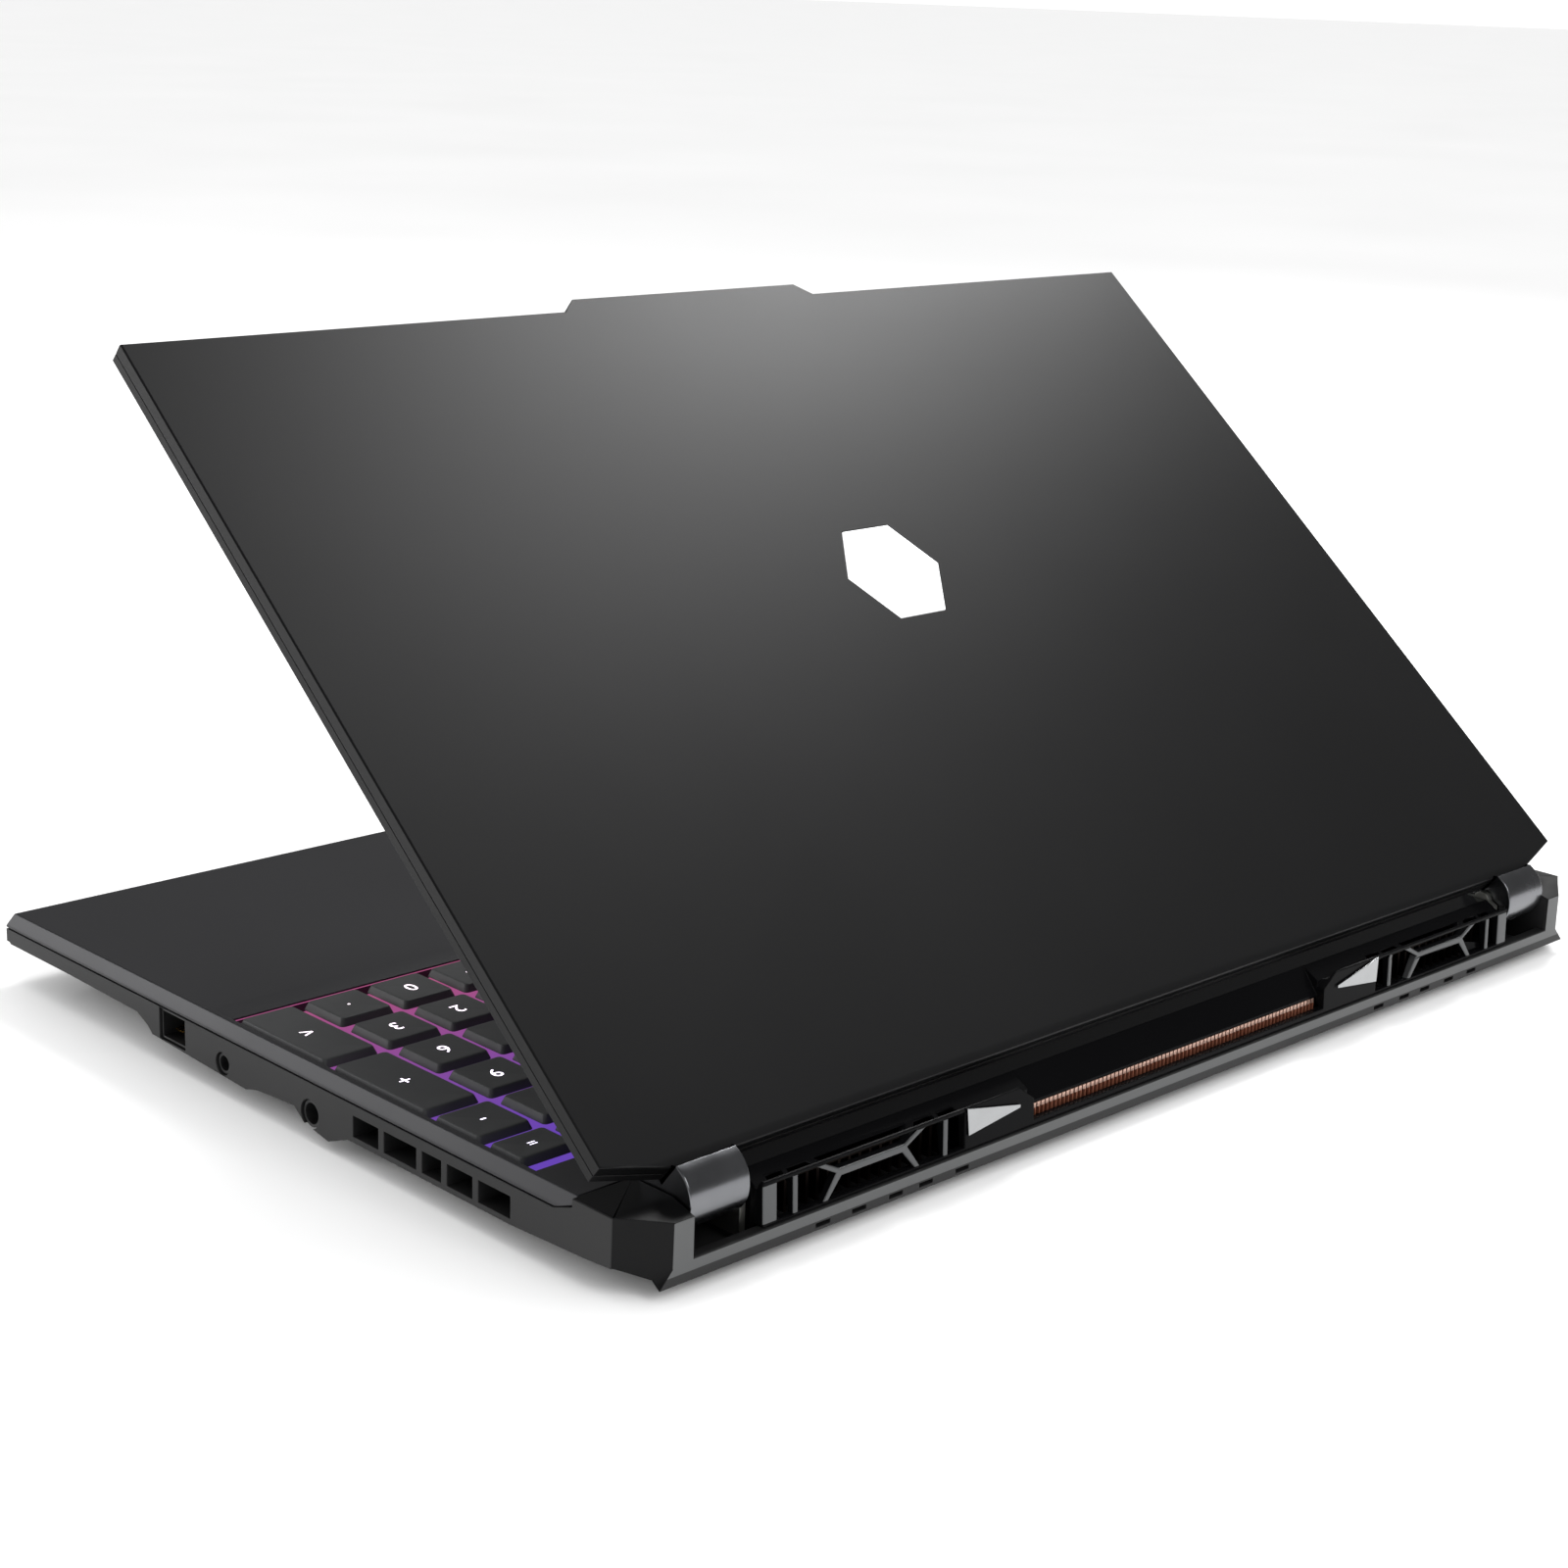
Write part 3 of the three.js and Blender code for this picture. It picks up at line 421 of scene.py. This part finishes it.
cap_plastic = grained("matt_moulded_abs", ("#343536", "#3e3f40"), 12, (0.5, 0.6), 0.35, 0.015,
                      edge=0.15, IOR=1.54)
LEGEND_GLOW = 2.6
LEGEND_WHITENESS = 0.62
legend_plastic = glow(grained("etched_legend_window", ("#d8d0dc", "#e6deea"), 5, (0.5, 0.6), 0.4, 0.002),
                      LEGEND_GLOW, LEGEND_WHITENESS)
CORNER = 1.1 * MM
TAPER = 0.8 * MM
RIM = 0.3 * MM
DISH = 0.22 * MM
# Each step of the dish: how far it goes in, in mm, and its share of the depth.
DISH_STEPS = ((0.7, 0), (1.6, 0.5), (2.6, 0.4), (2.0, 0.1))
LEGEND_HEIGHT = 6.24 * MM
SMALL_LEGEND_HEIGHT = 4.42 * MM
finished_caps = {}


def model_cap(width, depth, low_z, high_z):
    """One keycap round the origin: corners rounded, top drawn in, rim softened and top dished."""
    bpy.ops.object.select_all(action="DESELECT")
    bpy.ops.mesh.primitive_cube_add(size=1, location=(0, 0, (low_z + high_z) / 2))
    cap = bpy.context.object
    cap.scale = (width, depth, high_z - low_z)
    bpy.ops.object.transform_apply(location=True, rotation=False, scale=True)
    pick(cap, "EDGE", lambda edge: abs(edge.verts[0].co.z - edge.verts[1].co.z) > 1 * MM)
    bpy.ops.mesh.bevel(offset=CORNER, segments=3, affect="EDGES")
    pick(cap, "FACE", lambda face: face.normal.z > 0.9)
    bpy.ops.transform.resize(value=(1 - 2 * TAPER / width, 1 - 2 * TAPER / depth, 1))
    pick(cap, "EDGE", lambda edge: min(v.co.z for v in edge.verts) > high_z - 0.01 * MM)
    bpy.ops.mesh.bevel(offset=RIM, segments=2, affect="EDGES")
    pick(cap, "FACE", lambda face: face.normal.z > 0.99)
    for step, drop in DISH_STEPS:
        inner_width = width - 2 * step * MM
        inner_depth = depth - 2 * step * MM
        bpy.ops.mesh.extrude_region_move(TRANSFORM_OT_translate={"value": (0, 0, -drop * DISH)})
        bpy.ops.transform.resize(value=(inner_width / width, inner_depth / depth, 1))
        width, depth = inner_width, inner_depth
    select_only(cap)
    return cap


def model_legend(mark, place, size):
    """A thin solid mark that stands in the middle of a cap, filled flush with its dish."""
    bpy.ops.object.select_all(action="DESELECT")
    bpy.ops.object.text_add()
    text = bpy.context.object
    text.data.body = mark
    text.data.size = size
    text.data.align_x = "CENTER"
    text.data.align_y = "CENTER"
    text.data.extrude = 0.06 * MM
    text.data.resolution_u = 3
    bpy.ops.object.convert(target="MESH")
    legend = bpy.context.object
    outline = [v.co for v in legend.data.vertices]
    centre = (Vector(map(min, zip(*outline))) + Vector(map(max, zip(*outline)))) / 2
    legend.data.transform(Matrix.Translation(Vector(place) - centre))
    legend.data.materials.clear()
    legend.data.materials.append(legend_plastic)
    return legend


def add_key(name, low, high, mark, body, *replaced):
    """Copies the cap of this size to its place, joins its legend and lets it ride on its body."""
    width, depth = high.x - low.x, high.y - low.y
    size = (round(width, 5), round(depth, 5))
    if size not in finished_caps:
        finished_caps[size] = model_cap(width, depth, low.z, high.z)
        finished_caps[size].data.materials.append(cap_plastic)
    cap = bpy.data.objects.new(name, finished_caps[size].data.copy())
    bpy.context.scene.collection.objects.link(cap)
    centre = Vector(((low.x + high.x) / 2, (low.y + high.y) / 2, 0))
    cap.data.transform(Matrix.Translation(centre))
    if mark.strip():
        tall = LEGEND_HEIGHT if depth > 13 * MM else SMALL_LEGEND_HEIGHT
        legend = model_legend(mark, centre + Vector((0, 0, high.z - DISH)), tall)
        select_only(cap)
        legend.select_set(True)
        bpy.ops.object.join()
    finish_piece(cap, None, body, "keycap", *replaced)


one_low, one_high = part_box("key_1")
cap_bottom = field_high.z - (one_high.z - one_low.z)
field_left = one_low.x - sum(KEY_ROWS[1][0][:13]) * key_pitch
field_replaced = ["keycap_field"]
for row, (widths, marks) in enumerate(KEY_ROWS):
    left = field_left
    for column, width in enumerate(widths):
        loose = LOOSE_KEYS.get((row, column))
        if loose:
            low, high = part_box(f"key_{loose}")
            add_key(f"cap_{loose}", low, high, marks[column], f"press_key_{loose}", f"key_{loose}")
        else:
            low = Vector((left, row_fronts[row], cap_bottom))
            high = Vector((left + width * key_pitch - KEY_GAP, row_backs[row], field_high.z))
            add_key(f"cap_row_{row}_{column}", low, high, marks[column], "base", *field_replaced)
            field_replaced = []
        left += width * key_pitch
low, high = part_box("key_enter")
add_key("cap_enter", low, high, "<", "press_key_enter", "key_enter")
for pattern in finished_caps.values():
    bpy.data.objects.remove(pattern)

# Touchpad: a sheet of etched glass, painted dark behind, with a ground edge. It clicks as one plate.
etched_glass = grained("etched_touch_glass", ("#29292b", "#303032"), 30, (0.28, 0.34), 0.25, 0.004,
                       edge=0.15, IOR=1.51)
touch_plate = refine("touch_plate", "touchpad", 0.25, lambda edge: is_sharp(edge, 3, 40))
finish_piece(touch_plate, etched_glass, "touchpad_plate", "touch_surface", "touchpad")

# Power key: a turned aluminium button with a dished face, a fine groove and a lit window in its middle.
button_low, button_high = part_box("power_button")
button = refine("turned_power_button", "power_button", 0.25, lambda edge: is_sharp(edge, 0.5, 60))
pick(button, "FACE", lambda face: face.normal.z > 0.99)
bpy.ops.mesh.inset(thickness=1.2 * MM)
bpy.ops.mesh.inset(thickness=0.25 * MM, depth=-0.15 * MM)
bpy.ops.mesh.inset(thickness=0.25 * MM, depth=0.15 * MM)
bpy.ops.mesh.inset(thickness=1.8 * MM, depth=-0.1 * MM)
finish_piece(button, turned_metal, "power_key", "keycap", "power_button")
window_glow = glow(grained("power_window_polycarbonate", ("#dfe0e4", "#eceef2"), 4, (0.35, 0.45), 0.4, 0.002,
                           IOR=1.58), 0.8, 0.85)
button.data.materials.append(window_glow)
centre = (button_low + button_high) / 2
for face in button.data.polygons:
    if face.normal.z > 0.9 and (face.center.xy - centre.xy).length < 0.2 * MM:
        face.material_index = 1

# Sockets: moulded bodies and drawn steel shells behind the side walls. Each row of gold-plated contacts
# is one strip with a bent tip, repeated at the socket's pitch.
socket_plastic = grained("moulded_socket_nylon", ("#101011", "#1a1a1b"), 6, (0.45, 0.6), 0.4, 0.01, IOR=1.53)
shell_steel = grained("drawn_nickelled_steel", ("#8e8e8c", "#a9a9a6"), 5, (0.25, 0.4), 0.5, 0.006,
                      edge=0.1, Metallic=1.0)
gold = grained("gold_plated_bronze", ("#c8963f", "#e2b45c"), 2, (0.2, 0.32), 0.3, 0.003, Metallic=1.0)
dress(socket_plastic, "ethernet_jack", "audio_jack", "power_inlet")
dress(shell_steel, "usb_a_port", "usb_c_port", "hdmi_port")


def add_contacts(name, node, count, pitch, width, length, reach, lift):
    """A row of sprung contact strips in a socket; sizes in mm, reach is the depth from its mouth."""
    low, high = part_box(node)
    side = 1 if low.x > 0 else -1
    mouth = max(abs(low.x), abs(high.x))
    start = (low.y + high.y) / 2 - (count - 1) / 2 * pitch * MM
    height = (low.z + high.z) / 2 + lift * MM
    bpy.ops.object.select_all(action="DESELECT")
    bpy.ops.mesh.primitive_cube_add(size=1, location=(side * (mouth - reach * MM), start, height))
    strip = bpy.context.object
    strip.name = name
    strip.scale = (length * MM, width * MM, 0.2 * MM)
    bpy.ops.object.transform_apply(location=True, rotation=False, scale=True)
    pick(strip, "FACE", lambda face: face.normal.x * side > 0.9)
    bpy.ops.mesh.extrude_region_move(TRANSFORM_OT_translate={"value": (side * 0.8 * MM, 0, -0.25 * MM)})
    select_only(strip)
    row = strip.modifiers.new("row", "ARRAY")
    row.count = count
    row.use_relative_offset = False
    row.use_constant_offset = True
    row.constant_offset_displace = (0, pitch * MM, 0)
    bpy.ops.object.modifier_apply(modifier="row")
    finish_piece(strip, gold, "base", "port_metal")


add_contacts("ethernet_contacts", "ethernet_jack", 8, 1.02, 0.4, 7, 7, -1.6)
add_contacts("usb_a_contacts", "usb_a_port", 4, 2.2, 1.1, 6, 7, 0.65)
add_contacts("usb_c_contacts", "usb_c_port", 8, 0.7, 0.3, 4, 6, 0.65)
add_contacts("hdmi_contacts", "hdmi_port", 9, 1.0, 0.45, 5, 6, 0.65)

# Inside: the printed boards under green-black solder mask, the battery in its shrunk film, and the
# speakers' moulded boxes.
solder_mask = grained("green_black_solder_mask", ("#0d1f17", "#183527"), 3, (0.35, 0.5), 0.6, 0.03)
battery_film = grained("heat_shrunk_battery_film", ("#151517", "#202024"), 25, (0.3, 0.45), 3, 0.05)
dress(solder_mask, "motherboard", "ssd_module", "memory_module", "wifi_card")
dress(battery_film, "battery_pack")
dress(fan_plastic, "speaker_left", "speaker_right")

# Feet: strips of moulded rubber glued under the floor, two in front and a long one at the back.
rubber = grained("moulded_nitrile_rubber", ("#161617", "#1f1f20"), 8, (0.75, 0.88), 0.5, 0.04, IOR=1.52)
for foot in ("foot_front_left", "foot_front_right", "foot_rear"):
    strip = refine(f"rubber_{foot}", foot, 0.3, lambda edge: is_sharp(edge, 2, 40))
    finish_piece(strip, rubber, "base", "rubber_foot", foot)

# Floor screws: eleven pan heads with round sockets, blackened steel, driven up into the floor.
# One head is modelled and copied to its places.
black_steel = grained("black_oxide_steel", ("#1c1c1d", "#2c2c2e"), 2, (0.3, 0.42), 0.3, 0.01, Metallic=0.9)
HEAD_RADIUS = 2.3 * MM
HEAD_ROUND = 0.25 * MM
HEAD_RIM = 0.4 * MM
SOCKET_RADIUS = 1.1 * MM
SOCKET_DEPTH = 0.4 * MM
SCREW_PLACES = ((-150, -88), (0, -100), (150, -88), (-156, 0), (156, 0), (-60, 10), (60, 10),
                (-150, 92), (-52, 92), (52, 92), (150, 92))
floor_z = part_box("bottom_case")[0].z
bpy.ops.object.select_all(action="DESELECT")
bpy.ops.mesh.primitive_cylinder_add(vertices=24, radius=HEAD_RADIUS, depth=0.6 * MM,
                                    location=(0, 0, floor_z - 0.2 * MM))
screw = bpy.context.object
pick(screw, "EDGE", lambda edge: max(v.co.z for v in edge.verts) < 0)
bpy.ops.mesh.bevel(offset=HEAD_ROUND, segments=3, affect="EDGES")
pick(screw, "FACE", lambda face: face.normal.z < -0.99)
bpy.ops.mesh.inset(thickness=HEAD_RIM)
narrow = SOCKET_RADIUS / (HEAD_RADIUS - HEAD_ROUND - HEAD_RIM)
bpy.ops.transform.resize(value=(narrow, narrow, 1))
bpy.ops.mesh.extrude_region_move(TRANSFORM_OT_translate={"value": (0, 0, SOCKET_DEPTH)})
select_only(screw)
bpy.ops.object.transform_apply(location=True, rotation=False, scale=True)
for number, (x, y) in enumerate(SCREW_PLACES, 1):
    copy = bpy.data.objects.new(f"floor_screw_{number}", screw.data.copy())
    bpy.context.scene.collection.objects.link(copy)
    copy.data.transform(Matrix.Translation((x * MM, y * MM, 0)))
    finish_piece(copy, black_steel, "base", "hinge_metal")
bpy.data.objects.remove(screw)

# Lid: a pressed aluminium cover, bead-blasted black. Its lower half is the screen frame's plastic rim,
# and a fine seam runs between them round the edge.
LID_OPEN = 40.05
hinge = next(Vector(joint["pos_m"]) for joint in frame["joints"] if joint["name"] == "lid_hinge")
lid_turn = (Matrix.Translation(hinge) @ Matrix.Rotation(radians(-LID_OPEN), 4, "X")
            @ Matrix.Translation(-hinge))
to_closed = lid_turn.inverted()
lid_normal = lid_turn.to_3x3() @ Vector((0, 0, 1))
closed_lid = [to_closed @ v.co for v in frame["nodes"]["lid_cover"].data.vertices]
lid_top = max(v.z for v in closed_lid)
lid_front = min(v.y for v in closed_lid)
lid_rear = max(v.y for v in closed_lid)
emblem_centre = sum((to_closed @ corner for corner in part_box("lid_emblem")), Vector()) / 2
EMBLEM_CLEARANCE = 25 * MM
SEAM_DEPTH = 3.2 * MM
SEAM_WIDTH = 0.25 * MM
SEAM_CUT = 0.2 * MM


def closed(point):
    """Where a point of the open lid lies when the lid is shut."""
    return to_closed @ point


def away_from_emblem(edge):
    """Leaves out the edges of the recess that holds the emblem."""
    return (closed(edge.verts[0].co).xy - emblem_centre.xy).length > EMBLEM_CLEARANCE


black_anodised = grained("black_bead_blasted_aluminium", ("#101011", "#131314"), 120, (0.38, 0.42), 0.3, 0.01,
                         edge=0.15, Metallic=0.3, Specular_IOR_Level=0.25)
lid_shell = refine("lid_shell", "lid_cover", 0.4,
                   lambda edge: is_sharp(edge, 4, 30) and away_from_emblem(edge)
                   and closed(middle(edge) * MM).z > lid_top - 1 * MM)
for offset in (SEAM_DEPTH, SEAM_DEPTH + SEAM_WIDTH):
    pick(lid_shell, "FACE", lambda face: True)
    bpy.ops.mesh.bisect(plane_co=lid_turn @ Vector((0, 0, lid_top - offset)), plane_no=lid_normal)


def on_outer_wall(face):
    """True for the faces of the lid's outer wall."""
    place = closed(face.calc_center_median())
    outward = to_closed.to_3x3() @ face.normal
    return abs(outward.z) < 0.3 and (outward.x * place.x > 0.1 * abs(place.x) and abs(place.x) > 160 * MM
                                     or place.y < lid_front + 5 * MM and outward.y < -0.3
                                     or place.y > lid_rear - 6 * MM and outward.y > 0.3)


pick(lid_shell, "FACE", lambda face: on_outer_wall(face) and
     SEAM_DEPTH < lid_top - closed(face.calc_center_median()).z < SEAM_DEPTH + SEAM_WIDTH)
bpy.ops.mesh.extrude_region_shrink_fatten(TRANSFORM_OT_shrink_fatten={"value": -SEAM_CUT})
finish_piece(lid_shell, black_anodised, "lid", "shell_lid", "lid_cover")
frame_plastic = grained("matt_black_polycarbonate", ("#0c0c0d", "#111112"), 30, (0.45, 0.55), 0.4, 0.015,
                        edge=0.3, IOR=1.58, Specular_IOR_Level=0.2)
lid_shell.data.materials.append(frame_plastic)
for face in lid_shell.data.polygons:
    if closed(face.center).z < lid_top - SEAM_DEPTH:
        face.material_index = 1

# Emblem: a plain hexagon of frosted white polycarbonate with a raised core, lit from behind.
frosted_white = grained("frosted_white_polycarbonate", ("#eceef2", "#f8f9fb"), 6, (0.3, 0.4), 0.4, 0.003,
                        edge=0.1, Emission_Color=(1, 1, 1, 1), Emission_Strength=0.55)
emblem = refine("hexagon_emblem", "lid_emblem", 0.15,
                lambda edge: is_sharp(edge, 3, 60) and closed(middle(edge) * MM).z > lid_top - 0.1 * MM)
pick(emblem, "FACE", lambda face: face.normal.dot(lid_normal) > 0.99)
bpy.ops.mesh.inset(thickness=2.6 * MM)
bpy.ops.mesh.inset(thickness=0.3 * MM, depth=-0.25 * MM)
bpy.ops.mesh.inset(thickness=0.3 * MM, depth=0.25 * MM)
finish_piece(emblem, frosted_white, "lid", "emblem_light", "lid_emblem")

# Screen: a thin plastic frame round an anti-glare display that is switched off, with four rubber
# bumpers that keep the shut lid off the deck.
screen_frame = refine("screen_frame", "screen_bezel", 0.25, lambda edge: is_sharp(edge, 4, 30))
finish_piece(screen_frame, frame_plastic, "lid", "black_plastic", "screen_bezel")
display_glass = grained("anti_glare_display_film", ("#050507", "#08080b"), 80, (0.16, 0.2), 0.2, 0.003,
                        IOR=1.5)
display = refine("display", "lcd_panel", 0.2, lambda edge: is_sharp(edge, 10, 40))
finish_piece(display, display_glass, "lid", "screen_glass", "lcd_panel")


def add_button_shape(name, x, y, radius, height, material, slot):
    """A low disc with a rounded and slightly hollow face that stands on the screen frame."""
    face_z = min(closed(v.co).z for v in frame["nodes"]["screen_bezel"].data.vertices)
    bpy.ops.object.select_all(action="DESELECT")
    bpy.ops.mesh.primitive_cylinder_add(vertices=24, radius=radius * MM, depth=height * MM,
                                        location=(x * MM, y * MM, face_z - height / 2 * MM + 0.05 * MM))
    disc = bpy.context.object
    disc.name = name
    bpy.ops.object.transform_apply(location=True, rotation=False, scale=True)
    pick(disc, "EDGE", lambda edge: max(v.co.z for v in edge.verts) < face_z - height / 2 * MM)
    bpy.ops.mesh.bevel(offset=0.3 * height * MM, segments=3, affect="EDGES")
    pick(disc, "FACE", lambda face: face.normal.z < -0.99)
    bpy.ops.mesh.inset(thickness=0.35 * radius * MM)
    bpy.ops.mesh.inset(thickness=0.15 * radius * MM, depth=-0.2 * height * MM)
    select_only(disc)
    disc.data.transform(lid_turn)
    finish_piece(disc, material, "lid", slot)


TAB_REACH = 4.2
frame_middle = lid_front / MM + TAB_REACH + 4.6
for number, (x, y) in enumerate(((-168, frame_middle), (168, frame_middle), (-160, 102), (160, 102)), 1):
    add_button_shape(f"lid_bumper_{number}", x, y, 2, 0.5, rubber, "rubber_foot")

# Webcam: a coated glass lens in the screen frame, below the lid's tab. A small lamp stands beside it,
# and two microphone discs further out.
lens_glass = grained("coated_lens_glass", ("#05060b", "#0c1020"), 1, (0.04, 0.08), 0.5, 0.001, IOR=1.52)
add_button_shape("webcam_lens", 0, frame_middle, 1.8, 0.35, lens_glass, "screen_glass")
add_button_shape("webcam_lamp", 7, frame_middle, 0.6, 0.2, window_glow, "emblem_light")
for number, x in enumerate((-30, 30), 1):
    add_button_shape(f"microphone_{number}", x, frame_middle, 0.7, 0.15, fan_plastic, "black_plastic")
dress(fan_plastic, "webcam_module")
